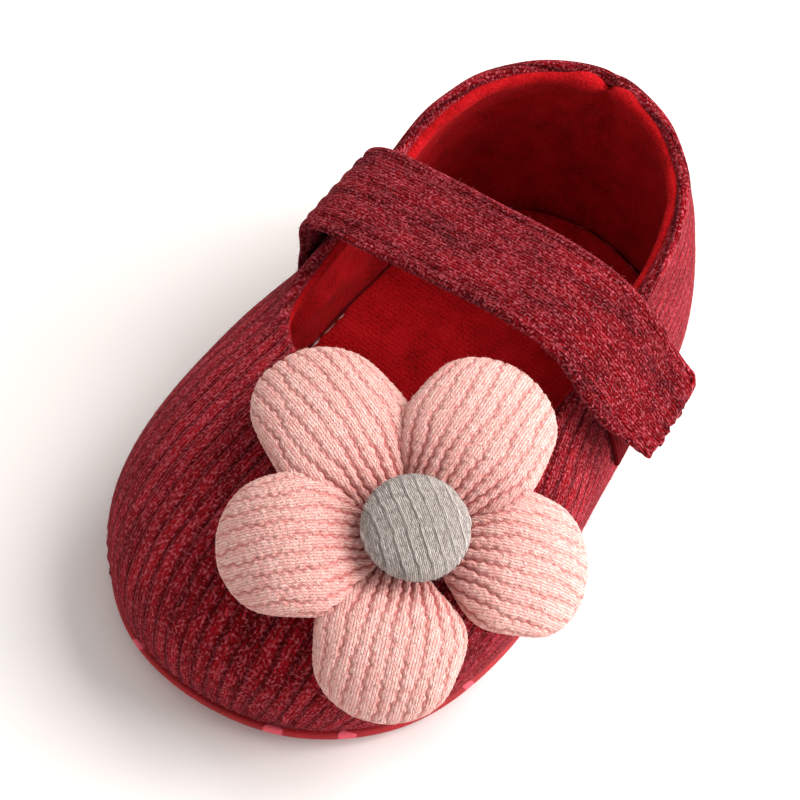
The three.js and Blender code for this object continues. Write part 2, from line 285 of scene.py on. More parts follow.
@dataclass(frozen=True)
class Stitch:
    """One stitch of a plain knit, seen as a V of two legs."""

    wale: float
    course: float
    slope: float = 1.0
    wander: float = 0.5

    def draw(self, shader: Shader, across: Wire, along: Wire) -> tuple[Wire, Wire]:
        """Draws the stitches.

        Args:
            shader: The tree to draw in.
            across: The coordinate across the wales, in metres.
            along: The coordinate along the wales, in metres.

        Returns:
            The relief from 0 to 1, and a random number for each leg.
        """
        spot = shader.join(across, along)
        drift = shader.noise(spot, 0.3 / self.wale, 1.0) - 0.5
        shift = shader.noise(spot, 0.45 / self.course, 1.0) - 0.5
        u = across / self.wale + drift * self.wander
        v = along / self.course + shift * self.wander
        side = u.fract() - 0.5
        reach = abs(side) * 2
        climb = v + reach * self.slope
        leg = (1 - (reach * 2 - 1) ** 2).most(0.0) ** 0.6
        bead = (1 - ((climb.fract() - 0.5) * 2) ** 2).most(0.0) ** 0.5
        cell = shader.join(u.floor(), climb.floor(), side.over(0.0))
        return leg * (0.35 + 0.65 * bead), shader.chance(cell)


@dataclass(frozen=True)
class Pile:
    """How the loose fibres of a cloth catch the light."""

    tint: tuple
    weight: float
    spread: float
    roughness: float
    shine: float

    def sockets(self) -> dict:
        """The Principled shader's sockets that it sets."""
        return {
            "Roughness": self.roughness,
            "Sheen Weight": self.weight,
            "Sheen Roughness": self.spread,
            "Sheen Tint": self.tint,
            "Specular IOR Level": self.shine,
        }


@dataclass(frozen=True)
class KnitFinish:
    """Melange rib knit of crimson yarn with paler curled fibres."""

    name: str
    stitch: Stitch = Stitch(wale=1.1 * MM, course=0.85 * MM)
    rib: float = 2.4 * MM
    furrow: float = 0.9
    fade: float = 0.0
    dark: tuple = colour(58, 1, 4)
    middle: tuple = colour(119, 3, 10)
    light: tuple = colour(174, 22, 36)
    fleck: tuple = colour(216, 104, 117)
    pile: Pile = Pile(
        colour(255, 112, 128), weight=0.42, spread=0.28, roughness=0.95, shine=0.05
    )

    def make(self) -> bpy.types.Material:
        """Builds the material."""
        shader = Shader(self.name)
        across, along = shader.uv()
        spot = shader.join(across, along)
        height, leg = self.stitch.draw(shader, across, along)
        fibre = shader.noise(shader.join(across * 3000, along * 1300, leg * 7), 1.0, 3.0, 0.6)
        cloud = shader.noise(shader.join(across, along * 0.4), 230.0, 2.0)
        bend = shader.noise(spot, 120.0, 1.0) * 0.5
        lane = abs((across / self.rib + bend).fract() - 0.5) * 2
        # furrow presses the rib's furrows in and also marks where painted shade goes.
        furrow = lane.step(0.52, 1.0) * (cloud * 1.6 - 0.1) * self.furrow
        # The height term is a painted highlight on the stitch crests.
        tone = fibre * 0.5 + leg * 0.24 + cloud * 0.6 + height * 0.14 - 0.24 - self.fade
        # Painted shade: the tone falls from each rib's middle towards its furrows.
        tone += (0.4 - lane) * 0.12 * self.furrow
        yarn = shader.ramp(tone, [(0.25, self.dark), (0.5, self.middle), (0.78, self.light)])
        edge = shader.attribute("edge")
        pale = leg.over(0.72) * fibre.step(0.46, 0.58) * height.step(0.3, 0.7)
        curls = shader.curls(spot, 0.85 * MM, 0.28)
        strays = shader.curls(shader.join(along, across, 3.1), 0.95 * MM, 0.1)
        flecks = (pale * 0.32 + curls * (0.75 + edge * 0.25) + strays * 0.5).least(1.0)
        base = shader.mix(flecks * (0.2 + cloud * 0.85 - self.fade), yarn, self.fleck)
        # Painted shade: the dark yarn colour laid into the furrows and the hollows between the
        # stitch legs.
        base = shader.mix((furrow + (1 - height) ** 2 * 0.22).least(1.0), base, self.dark)
        base = shader.mix(shader.attribute("line") * 0.55, base, self.dark)
        relief = height * 0.6 - furrow * 0.9 + flecks * 0.45 + fibre * 0.3
        return shader.finish(base, relief, 0.5 * MM, self.pile.sockets())


@dataclass(frozen=True)
class PlushFinish:
    """Short dense pile of the lining and the insole's cover."""

    name: str
    nap: float = 0.0
    dark: tuple = colour(96, 0, 3)
    middle: tuple = colour(172, 4, 12)
    light: tuple = colour(210, 26, 36)
    pile: Pile = Pile(
        colour(255, 60, 66), weight=0.45, spread=0.35, roughness=0.95, shine=0.15
    )

    def make(self) -> bpy.types.Material:
        """Builds the material."""
        shader = Shader(self.name)
        spot = shader.place()
        tufts = shader.noise(spot, 2300.0, 3.0, 0.65)
        lumps = shader.noise(spot, 240.0, 3.0)
        across, along = shader.split(spot)
        rows = ((along * 7600 + across * 700 + lumps * 4).sin() * 0.5 + 0.5) * self.nap
        edge = shader.attribute("edge")
        # The edge term is a painted highlight on the lining's rolled edge.
        tone = tufts * 0.6 + lumps * 0.4 + rows * 0.09 + edge * 0.03
        base = shader.ramp(tone, [(0.3, self.dark), (0.5, self.middle), (0.75, self.light)])
        relief = tufts + lumps * 0.8 + rows * 0.25
        return shader.finish(base, relief, 0.35 * MM, self.pile.sockets())


@dataclass(frozen=True)
class PetalFinish:
    """Pale pink puffed rib knit, with deeper furrows that get painted shade."""

    name: str
    stitch: Stitch = Stitch(wale=0.95 * MM, course=0.7 * MM)
    furrow: tuple = colour(212, 122, 118)
    middle: tuple = colour(226, 165, 157)
    light: tuple = colour(242, 201, 193)
    pore_shade: tuple = colour(150, 84, 80)
    pile: Pile = Pile(
        colour(255, 225, 218), weight=0.3, spread=0.5, roughness=0.92, shine=0.2
    )

    def make(self) -> bpy.types.Material:
        """Builds the material."""
        shader = Shader(self.name)
        across, along = shader.uv()
        spot = shader.join(across, along)
        height, leg = self.stitch.draw(shader, across, along)
        fibre = shader.noise(shader.join(across * 3200, along * 2200, leg * 5), 1.0, 3.0, 0.6)
        # The height term is a painted highlight on the stitch crests.
        tone = fibre * 0.62 + leg * 0.2 + height * 0.2
        yarn = shader.ramp(tone, [(0.3, self.furrow), (0.5, self.middle), (0.74, self.light)])
        curls = shader.curls(spot, 0.45 * MM, 0.4)
        yarn = shader.mix(curls * 0.35, yarn, self.light)
        # Painted shade: the furrow colour laid into the furrows and over the gathered root.
        base = shader.mix(shader.attribute("furrow") * 0.9, yarn, self.furrow)
        # Pores: the holes between the loops, pressed in and darkened with painted shade.
        holes = shader.wire("ShaderNodeTexVoronoi", {}, {"Vector": spot, "Scale": 1150.0})
        pores = (0.3 - holes).step(0.0, 0.14) * leg.over(0.35)
        base = shader.mix(pores * 0.45, base, self.pore_shade)
        relief = height * 0.8 + fibre * 0.6 + curls * 0.4 - pores * 0.5
        return shader.finish(base, relief, 0.22 * MM, self.pile.sockets())


@dataclass(frozen=True)
class ButtonFinish:
    """Warm grey rib jersey with paler drawn lines."""

    name: str
    stitch: Stitch = Stitch(wale=0.6 * MM, course=0.55 * MM)
    dark: tuple = colour(92, 84, 80)
    middle: tuple = colour(148, 138, 133)
    light: tuple = colour(206, 198, 192)
    pile: Pile = Pile(
        colour(255, 255, 255), weight=0.35, spread=0.5, roughness=0.9, shine=0.2
    )

    def make(self) -> bpy.types.Material:
        """Builds the material."""
        shader = Shader(self.name)
        across, along = shader.uv()
        height, leg = self.stitch.draw(shader, across, along)
        fibre = shader.noise(shader.join(across * 4200, along * 2600, leg * 5), 1.0, 3.0, 0.6)
        # The height term is a painted highlight on the stitch crests.
        tone = fibre * 0.6 + leg * 0.25 + height * 0.2
        yarn = shader.ramp(tone, [(0.32, self.dark), (0.55, self.middle), (0.85, self.light)])
        curls = shader.curls(shader.join(across, along), 0.4 * MM, 0.4)
        yarn = shader.mix(curls * 0.3, yarn, self.light)
        line = shader.attribute("line")
        furrow = shader.attribute("furrow")
        base = shader.mix(line * 0.7, yarn, self.light)
        # Painted shade: the dark colour laid into the grooves beside the lines.
        base = shader.mix(furrow * 0.6, base, self.dark)
        return shader.finish(base, height + fibre * 0.6, 0.2 * MM, self.pile.sockets())


@dataclass(frozen=True)
class SoleFinish:
    """Smooth red cloth with soft printed grip dabs."""

    name: str
    cloth: tuple = colour(176, 8, 24)
    shade: tuple = colour(122, 3, 14)
    dab: tuple = colour(222, 84, 102)
    pitch: float = 6.5 * MM

    def make(self) -> bpy.types.Material:
        """Builds the material."""
        shader = Shader(self.name)
        spot = shader.place()
        x, y = shader.split(spot)
        weave = ((x * 9000).sin() * (y * 9000).sin()) * 0.5 + 0.5
        mottle = shader.noise(spot, 300.0, 3.0)
        row = (y / self.pitch).floor()
        u = (x / self.pitch + (row * 0.5).fract()).fract() - 0.5
        v = (y / self.pitch).fract() - 0.5
        wide = (abs(u + v * 0.3) - 0.12).most(0.0)
        tall = (abs(v - u * 0.4) - 0.01).most(0.0)
        reach = (wide ** 2 + tall ** 2) ** 0.5
        dab = 1 - reach.step(0.1, 0.15)
        cloth = shader.mix(mottle, self.cloth, self.shade)
        base = shader.mix(dab * 0.85, cloth, self.dab)
        relief = weave * 0.15 + mottle * 0.2 + dab * 0.8
        fixed = {"Roughness": 0.62, "Specular IOR Level": 0.35}
        return shader.finish(base, relief, 0.2 * MM, fixed)


@dataclass(frozen=True)
class TapeFinish:
    """Crimson closing tape: fine hooks or loops on a woven ground."""

    name: str
    pitch: float = 0.8 * MM
    dark: tuple = colour(58, 1, 5)
    light: tuple = colour(96, 4, 12)

    def make(self) -> bpy.types.Material:
        """Builds the material."""
        shader = Shader(self.name)
        spot = shader.place()
        tufts = shader.noise(spot, 0.9 / self.pitch, 2.0)
        _, y = shader.split(spot)
        rows = (y * (math.tau / self.pitch)).sin() * 0.5 + 0.5
        tone = tufts * 0.6 + rows * 0.4
        base = shader.ramp(tone, [(0.2, self.dark), (0.8, self.light)])
        fixed = {"Roughness": 0.95, "Specular IOR Level": 0.05}
        return shader.finish(base, tone, 0.2 * MM, fixed)


@dataclass(frozen=True)
class FoamFinish:
    """White foam and backing cloth of the insole's core."""

    name: str

    def make(self) -> bpy.types.Material:
        """Builds the material."""
        shader = Shader(self.name)
        cells = shader.noise(shader.place(), 1400.0, 2.0)
        base = shader.ramp(cells, [(0.2, colour(214, 196, 192)), (0.8, colour(248, 240, 236))])
        return shader.finish(base, cells, 0.2 * MM, {"Roughness": 0.9})


@dataclass(frozen=True)
class FuzzFinish:
    """Loose fibres that stand off a knit."""

    name: str
    tone: tuple
    shade: tuple

    def make(self) -> bpy.types.Material:
        """Builds the material."""
        shader = Shader(self.name)
        shade = shader.noise(shader.place(), 500.0, 1.0)
        base = shader.mix(shade, self.shade, self.tone)
        return shader.finish(base, shade, 0.01 * MM, {"Roughness": 0.8})


@dataclass(frozen=True)
class FloorFinish:
    """Plain pale floor."""

    name: str
    tone: tuple = (0.86, 0.85, 0.84, 1.0)

    def make(self) -> bpy.types.Material:
        """Builds the material."""
        shader = Shader(self.name)
        speckle = shader.noise(shader.place(), 40.0, 2.0)
        return shader.finish(self.tone, speckle, 0.02 * MM, {"Roughness": 0.8})


# Reading and shaping the CAD's forms


def merged_copy(node: str) -> bmesh.types.BMesh:
    """A copy of a CAD node's mesh with its loose triangles joined."""
    made = bmesh.new()
    made.from_mesh(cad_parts[node].data)
    bmesh.ops.remove_doubles(made, verts=made.verts[:], dist=JOIN_DISTANCE)
    made.verts.index_update()
    return made


def neighbours(vertex: bmesh.types.BMVert) -> list[bmesh.types.BMVert]:
    """The vertices joined to this one by an edge."""
    return [edge.other_vert(vertex) for edge in vertex.link_edges]


def levels_from(start: list[bmesh.types.BMVert]) -> Rings:
    """Groups vertices by how many edges they are away from the start."""
    seen = set(start)
    levels = [start]
    while levels[-1]:
        reached = {near for vertex in levels[-1] for near in neighbours(vertex)}
        level = sorted(reached - seen, key=lambda vertex: vertex.index)
        seen.update(level)
        levels.append(level)
    return levels[:-1]


def walk(level: list[bmesh.types.BMVert], first: bmesh.types.BMVert, towards: Vector) -> list:
    """Puts a level's vertices in order round their ring.

    Args:
        level: The vertices.
        first: The one that starts the ring.
        towards: A point that the second vertex is nearer to.

    Returns:
        The ordered ring.
    """
    members = set(level)
    sides = [vertex for vertex in neighbours(first) if vertex in members]
    ring = [first, min(sides, key=lambda vertex: (vertex.co - towards).length)]
    while len(ring) < len(level):
        steps = [v for v in neighbours(ring[-1]) if v in members and v not in ring[-2:]]
        ring.append(next(vertex for vertex in steps if vertex != ring[0]))
    return ring


def rings_in_order(levels: Rings, first: bmesh.types.BMVert, towards: Vector) -> Rings:
    """Orders each level as a ring, so that a column is one line of vertices over the form."""
    rings = [walk(levels[0], first, towards)]
    for level in levels[1:]:
        before = rings[-1]
        members = set(level)
        near = [vertex for vertex in neighbours(before[0]) if vertex in members]
        start = min(near, key=lambda vertex: (vertex.co - before[0].co).length)
        rings.append(walk(level, start, before[1].co))
    return rings


def drop_diagonals(made: bmesh.types.BMesh, rings: Rings) -> None:
    """Turns the pairs of triangles between the rings into four-sided faces."""
    count = len(rings[0])
    diagonals = []
    for low, high in zip(rings, rings[1:]):
        for column in range(count):
            for other in (column - 1, (column + 1) % count):
                edge = made.edges.get((low[column], high[other]))
                if edge:
                    diagonals.append(edge)
    bmesh.ops.dissolve_edges(made, edges=diagonals, use_verts=False)


def poles_of(made: bmesh.types.BMesh, spokes: int) -> list[bmesh.types.BMVert]:
    """The vertices at the two ends of a closed form, the lower one first."""
    found = [vertex for vertex in made.verts if len(vertex.link_edges) == spokes]
    return sorted(found, key=lambda vertex: vertex.co.z)


def tube(
    made: bmesh.types.BMesh, pole: bmesh.types.BMVert, rank: Callable, towards: Vector
) -> Rings:
    """Reads a closed form as rings, from the one round its pole to the last.

    Args:
        made: The mesh, whose rings are joined by four-sided faces afterwards.
        pole: The end where the rings start.
        rank: Gives a vertex a number; the first column starts where that is least.
        towards: The way from the first column to the second.

    Returns:
        The rings.
    """
    levels = levels_from([pole])[1:-1]
    first = min(levels[0], key=rank)
    rings = rings_in_order(levels, first, first.co + towards)
    drop_diagonals(made, rings)
    return rings


def points_of(rings: Rings) -> np.ndarray:
    """The rings' points as an array of rows, columns and coordinates."""
    return np.array([[vertex.co for vertex in ring] for ring in rings])


def closed(points: np.ndarray) -> np.ndarray:
    """The rings' points with the first column again at the end."""
    return np.concatenate([points, points[:, :1]], axis=1)


def write_grid(
    made: bmesh.types.BMesh, rings: Rings, name: str, first: np.ndarray, second: np.ndarray
) -> None:
    """Gives the faces a pair of coordinates.

    Args:
        made: The mesh.
        rings: Its rings of vertices.
        name: The name of the layer that keeps them.
        first: The first coordinate, for each row and each column, with one more column that
            closes the ring.
        second: The second coordinate, in the same order.
    """
    layer = made.loops.layers.uv.new(name)
    count = len(rings[0])
    spots = {v: (row, column) for row, ring in enumerate(rings) for column, v in enumerate(ring)}
    for face in made.faces:
        columns = [spots[v][1] for v in face.verts if v in spots]
        wraps = max(columns) - min(columns) > count / 2
        middle = sum(columns) / len(columns)
        for loop in face.loops:
            row, column = spots.get(loop.vert, (None, None))
            if row is None:
                row = 0 if spots[loop.link_loop_next.vert][0] == 0 else len(rings) - 1
                column = 0 if wraps else int(middle)
            if wraps and column < count / 2:
                column += count
            loop[layer].uv = (first[row, column], second[row, column])


def applied(holder: bpy.types.Object) -> bpy.types.Mesh:
    """The mesh that an object's modifiers give; the object is removed."""
    depsgraph = bpy.context.evaluated_depsgraph_get()
    mesh = bpy.data.meshes.new_from_object(holder.evaluated_get(depsgraph))
    bpy.data.objects.remove(holder)
    return mesh


def smoothed(made: bmesh.types.BMesh, name: str, levels: int) -> bpy.types.Mesh:
    """Applies a subdivision surface.

    Args:
        made: The cage, which is freed.
        name: The new mesh's name.
        levels: How many times each face is split in four.

    Returns:
        The fine mesh.
    """
    cage = bpy.data.meshes.new(name)
    made.to_mesh(cage)
    made.free()
    holder = added(name + "_cage", cage)
    smoother = holder.modifiers.new("smooth", "SUBSURF")
    smoother.levels = levels
    smoother.render_levels = levels
    fine = applied(holder)
    fine.name = name
    return fine


def unwrapped(made: bmesh.types.BMesh) -> bpy.types.Object:
    """Lays a mesh out flat along its seams, in an object of its own; the mesh is freed."""
    mesh = bpy.data.meshes.new("pattern")
    made.to_mesh(mesh)
    made.free()
    sheet = added("pattern", mesh)
    bpy.context.view_layer.objects.active = sheet
    sheet.select_set(True)
    bpy.ops.object.mode_set(mode="EDIT")
    bpy.ops.mesh.select_all(action="SELECT")
    bpy.ops.uv.unwrap(method="ANGLE_BASED", margin=0.0)
    bpy.ops.object.mode_set(mode="OBJECT")
    return sheet


def arc_lengths(points: np.ndarray, axis: int) -> np.ndarray:
    """Running length along an axis of a grid of points, from 0 at its start."""
    steps = np.linalg.norm(np.diff(points, axis=axis), axis=2)
    start = np.zeros_like(np.take(steps, [0], axis=axis))
    return np.concatenate([start, np.cumsum(steps, axis=axis)], axis=axis)


class Surface:
    """A fine mesh whose vertices are moved along their normals."""

    def __init__(self, mesh: bpy.types.Mesh) -> None:
        """Reads the vertices and their coordinates on the cloth."""
        self.mesh = mesh
        count = len(mesh.vertices)
        found = np.empty(count * 3)
        mesh.vertices.foreach_get("co", found)
        self.points = found.reshape(-1, 3)
        self.corners = np.empty(len(mesh.loops), dtype=int)
        mesh.loops.foreach_get("vertex_index", self.corners)

    def grid(self, name: str) -> tuple[np.ndarray, np.ndarray]:
        """The two coordinates of a named layer, for each vertex."""
        spots = np.empty(len(self.corners) * 2)
        self.mesh.uv_layers[name].uv.foreach_get("vector", spots)
        kept = np.zeros((len(self.points), 2))
        kept[self.corners] = spots.reshape(-1, 2)
        return kept[:, 0], kept[:, 1]

    def write(self, name: str, first: np.ndarray, second: np.ndarray) -> None:
        """Adds a layer with two coordinates for each vertex."""
        layer = self.mesh.uv_layers.new(name=name)
        layer.uv.foreach_set("vector", np.stack([first, second], 1)[self.corners].ravel())

    def normals(self) -> np.ndarray:
        """The vertices' normals as the mesh is now."""
        found = np.empty(len(self.points) * 3)
        self.mesh.vertex_normals.foreach_get("vector", found)
        return found.reshape(-1, 3)

    def move(self, offsets: np.ndarray) -> None:
        """Moves each vertex by its own vector."""
        self.points = self.points + offsets
        self.mesh.vertices.foreach_set("co", self.points.ravel())
        self.mesh.update()

    def raise_by(self, heights: np.ndarray) -> None:
        """Moves each vertex along its normal."""
        self.move(self.normals() * heights[:, None])

    def note(self, name: str, values: np.ndarray) -> None:
        """Keeps a number on each vertex for the material."""
        attribute = self.mesh.attributes.new(name, "FLOAT", "POINT")
        attribute.data.foreach_set("value", values.astype(np.float32))


def smooth_step(values: np.ndarray, low: float, high: float) -> np.ndarray:
    """0 below low, 1 above high, and a smooth rise between them."""
    share = np.clip((values - low) / (high - low), 0, 1)
    return share * share * (3 - 2 * share)


def wave(places: np.ndarray, seed: float) -> np.ndarray:
    """A slow smooth wander from -1 to 1 along a line, made of three sines."""
    sines = ((1.0, 1.0, 1.0), (0.6, 2.3, 1.7), (0.4, 4.1, 2.9))
    return sum(share * np.sin(places * rate + seed * shift) for share, rate, shift in sines) / 2


def bell(distance: np.ndarray, width: float) -> np.ndarray:
    """1 at distance 0, falling smoothly to nothing past the width."""
    return np.exp(-((distance / width) ** 2))


@dataclass(frozen=True)
class Crease:
    """A soft trough, or a ridge if the depth is negative, along a line; all in millimetres."""

    start: tuple[float, float, float]
    end: tuple[float, float, float]
    depth: float
    width: float

    def heights(self, points: np.ndarray) -> np.ndarray:
        """How far each point moves along its normal."""
        start = np.array(self.start) * MM
        way = np.array(self.end) * MM - start
        share = np.clip((points - start) @ way / (way @ way), 0, 1)
        gap = np.linalg.norm(points - (start + share[:, None] * way), axis=1)
        fade = np.sin(np.pi * np.clip(share * 0.9 + 0.05, 0, 1)) ** 0.5
        return -self.depth * MM * fade * bell(gap, self.width * MM)


@dataclass(frozen=True)
class Fuzz:
    """Loose fibres scattered over a piece, each a thin closed spike."""

    name: str
    tone: tuple
    shade: tuple
    slot: Slot
    density: float
    length: float = 0.9 * MM
    radius: float = 0.028 * MM
    lean: float = 1.15
    least: float = 0.4
    sides: int = 3
    size_seed: int = 9

    def grow(self, *hosts: bpy.types.Object) -> None:
        """Scatters the fibres.

        Args:
            *hosts: The pieces that they stand on.
        """
        material = FuzzFinish(self.name, self.tone, self.shade).make()
        for seed, host in enumerate(hosts):
            holder = added(self.name + "_holder", host.data)
            holder.modifiers.new("fuzz", "NODES").node_group = self.tree(seed)
            name = host.name.replace("_knit", "") + "_fuzz"
            place_piece(name, applied(holder), material)

    def tree(self, seed: int) -> bpy.types.NodeTree:
        """Builds the node tree that sets the spikes on a mesh."""
        tree = bpy.data.node_groups.new(self.name, "GeometryNodeTree")
        for way in ("INPUT", "OUTPUT"):
            tree.interface.new_socket("Geometry", in_out=way, socket_type="NodeSocketGeometry")
        graph = Graph(tree)
        skin = graph.wire("NodeGroupInput", {}, {})
        dots = {"Mesh": skin, "Density": self.density, "Seed": seed}
        scatter = graph.node("GeometryNodeDistributePointsOnFaces", {}, dots)
        spike = {"Vertices": self.sides, "Depth": self.length}
        spike |= {"Radius Top": 0.0, "Radius Bottom": self.radius}
        cone = graph.wire("GeometryNodeMeshCone", {}, spike)
        most = (self.lean, self.lean, math.pi)
        turns = {0: tuple(-angle for angle in most), 1: most, "Seed": seed}
        turn = graph.wire("FunctionNodeRandomValue", {"data_type": "FLOAT_VECTOR"}, turns)
        lean = {0: Wire(graph, scatter.outputs["Rotation"]), 1: turn}
        turned = graph.wire("FunctionNodeRotateRotation", {"rotation_space": "LOCAL"}, lean)
        range_of_sizes = {2: self.least, 3: 1.0, "Seed": seed + self.size_seed}
        sizes = graph.wire("FunctionNodeRandomValue", {}, range_of_sizes, 1)
        stands = {"Points": Wire(graph, scatter.outputs["Points"]), "Instance": cone}
        stands |= {"Rotation": turned, "Scale": sizes}
        spikes = graph.wire("GeometryNodeInstanceOnPoints", {}, stands)
        whole = graph.wire("GeometryNodeRealizeInstances", {}, {0: spikes})
        graph.node("NodeGroupOutput", {}, {0: whole})
        return tree


def place_piece(
    name: str, mesh: bpy.types.Mesh, material: bpy.types.Material
) -> bpy.types.Object:
    """Adds a mesh to the shoe as a named piece that rides on its body.

    Args:
        name: The piece's name.
        mesh: Its mesh, in the shoe's own frame.
        material: Its material.

    Returns:
        The object.
    """
    piece = added(name, mesh)
    mesh.materials.clear()
    mesh.materials.append(material)
    mesh.shade_smooth()
    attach(piece, BODY)
    LOG.info("%s: %d faces", name, len(mesh.polygons))
    return piece


# The shoe's sub-assemblies


@dataclass
class Upper:
    """The knit upper and its plush lining, from the CAD's hollow wall."""

    outer_rows: int = 10
    rim_rows: int = 2
    knit_share: float = 0.6
    lining_share: float = 0.42
    collar: float = 0.8 * MM
    roll: float = 0.85 * MM
    seam: float = -1.0
    detail: int = 2
    foot_height: float = 10 * MM
    rim_width: float = 1.7 * MM
    back_middle: float = 26.0
    heel_spread: float = 1.3
    heel: tuple[float, float] = (44.0, 52.0)
    knit_creases: tuple[Crease, ...] = (
        Crease((31, -6, 8), (27, 4, 27), 0.4, 3.5),
        Crease((-31, 2, 12), (-29, 18, 34), 1.5, 6.5),
        Crease((-24, -22, 20), (-14, -8, 30), 0.5, 3.0),
        Crease((24, -14, 24), (18, -4, 32), 0.4, 3.0),
    )
    lining_creases: tuple[Crease, ...] = (
        Crease((-25, 8, 30), (-24, 24, 10), 0.8, 2.2),
        Crease((-26, 0, 14), (-25, 22, 12), -0.9, 2.4),
        Crease((24, 38, 36), (23, 44, 12), 0.5, 3.0),
    )

    def read(self) -> tuple[bmesh.types.BMesh, Rings]:
        """Reads the wall as rings, from the outer foot over the topline to the inner foot."""
        made = merged_copy("upper")
        low = [f for f in made.faces if f.calc_center_median().z < self.foot_height]
        foot = [face for face in low if face.normal.z < -0.8]
        bmesh.ops.delete(made, geom=foot, context="FACES")
        edge = {v for e in made.edges if e.is_boundary for v in e.verts}
        loops = []
        while edge:
            loop = {edge.pop()}
            rest = set(loop)
            while rest:
                near = {v for r in rest for e in r.link_edges if e.is_boundary for v in e.verts}
                rest = near - loop
                loop |= near
            edge -= loop
            loops.append(sorted(loop, key=lambda vertex: vertex.index))
        outer = max(loops, key=lambda loop: max(vertex.co.y for vertex in loop))
        heel = max(outer, key=lambda vertex: vertex.co.y)
        levels = levels_from(outer)
        return made, rings_in_order(levels, heel, heel.co + Vector((1, 0, 0)))

    def settle(self, points: np.ndarray) -> np.ndarray:
        """Lets the topline out over the heel and makes it wander as soft cloth does."""
        x, y, z = np.moveaxis(points / MM, -1, 0)
        aside, back = x, y - self.back_middle
        reach = np.hypot(aside, back)
        angle = np.arctan2(aside, back)
        high = smooth_step(z, 20.0, 42.0)
        behind = smooth_step(back, -8.0, 14.0)
        out = self.heel_spread * high * behind
        out += 0.4 * wave(angle * 4.0, 0.7) * high
        lift = 0.45 * high * behind + 0.3 * wave(angle * 5.0, 2.1) * high
        offsets = np.stack([aside / reach * out, back / reach * out, lift], axis=-1)
        return points + offsets * MM

    def layer(self, is_knit: bool) -> tuple[bmesh.types.BMesh, Rings]:
        """Thins the wall to its knit layer or its lining layer."""
        made, rings = self.read()
        points = self.settle(points_of(rings))
        last = len(rings) - 1
        rim = self.outer_rows + self.rim_rows
        for row, ring in enumerate(rings):
            for column, vertex in enumerate(ring):
                spot = points[row, column]
                if is_knit and row >= self.outer_rows:
                    anchor = points[max(0, min(self.outer_rows - 1, last - row)), column]
                    spot = anchor + (spot - anchor) * self.knit_share
                if not is_knit and row < rim:
                    anchor = points[min(last, max(rim, last - row)), column]
                    spot = anchor + (spot - anchor) * self.lining_share
                vertex.co = spot
        ends = [e for e in made.edges if e.is_boundary]
        bmesh.ops.bridge_loops(made, edges=ends)
        drop_diagonals(made, rings)
        bmesh.ops.recalc_face_normals(made, faces=made.faces[:])
        points = points_of(rings)
        rows = arc_lengths(closed(points), 0)
        rim_line = (rows[self.outer_rows] + rows[self.outer_rows + 1]) / 2
        write_grid(made, rings, "grid", rows - rim_line, arc_lengths(closed(points), 1))
        return made, rings

    def flat_pattern(self) -> tuple[np.ndarray, np.ndarray]:
        """Lays the outside of the wall flat, as the cloth was before its heel seam."""
        made, rings = self.read()
        points = points_of(rings)
        inside = [vertex for ring in rings[self.outer_rows:] for vertex in ring]
        bmesh.ops.delete(made, geom=inside, context="VERTS")
        rings = rings[: self.outer_rows]
        drop_diagonals(made, rings)
        for low, high in zip(rings, rings[1:]):
            made.edges.get((low[0], high[0])).seam = True
        made.verts.index_update()
        spots = {
            vertex.index: (row, column)
            for row, ring in enumerate(rings)
            for column, vertex in enumerate(ring)
        }
        count = len(rings[0])
        sheet = unwrapped(made)
        mesh = sheet.data
        flat = np.zeros((self.outer_rows, count + 1, 2))
        layer = mesh.uv_layers.active.uv
        for face in mesh.polygons:
            corners = [(loop, *spots[mesh.loops[loop].vertex_index]) for loop in face.loop_indices]
            columns = [column for _, _, column in corners]
            wraps = max(columns) - min(columns) > count / 2
            for loop, row, column in corners:
                turn = count if wraps and column < count / 2 else 0
                flat[row, column + turn] = layer[loop].vector
        bpy.data.objects.remove(sheet)
        return flat, points

    def cloth_grid(self) -> tuple[np.ndarray, np.ndarray]:
        """Cloth coordinates whose wales run from the toe to the throat."""
        flat, points = self.flat_pattern()
        outer = closed(points)[: self.outer_rows]
        size = np.linalg.norm(np.diff(outer, axis=0), axis=2).sum()
        flat = flat * (size / np.linalg.norm(np.diff(flat, axis=0), axis=2).sum())
        toe = int(np.argmin(points[0, :, 1]))
        way = flat[-1, toe] - flat[0, toe]
        way /= np.linalg.norm(way)
        aside = np.array([way[1], -way[0]])
        flat = flat - flat[0, toe]
        step = flat[-1] - flat[-2]
        step /= np.linalg.norm(step, axis=1, keepdims=True)
        rows = arc_lengths(closed(points), 0)
        beyond = rows[self.outer_rows:] - rows[self.outer_rows - 1]
        more = flat[-1][None] + step[None] * beyond[..., None]
        whole = np.concatenate([flat, more])
        return whole @ aside, whole @ way

    def back_seam(self, x: np.ndarray, y: np.ndarray) -> np.ndarray:
        """1 on the heel's seam, falling to 0 beside it; the places are in millimetres."""
        return bell(x - self.seam, 1.3) * smooth_step(y, *self.heel)

    def build(self) -> bpy.types.Object:
        """Builds the knit shell and the lining, and returns the shell."""
        shell = self.shell()
        self.lining()
        return shell

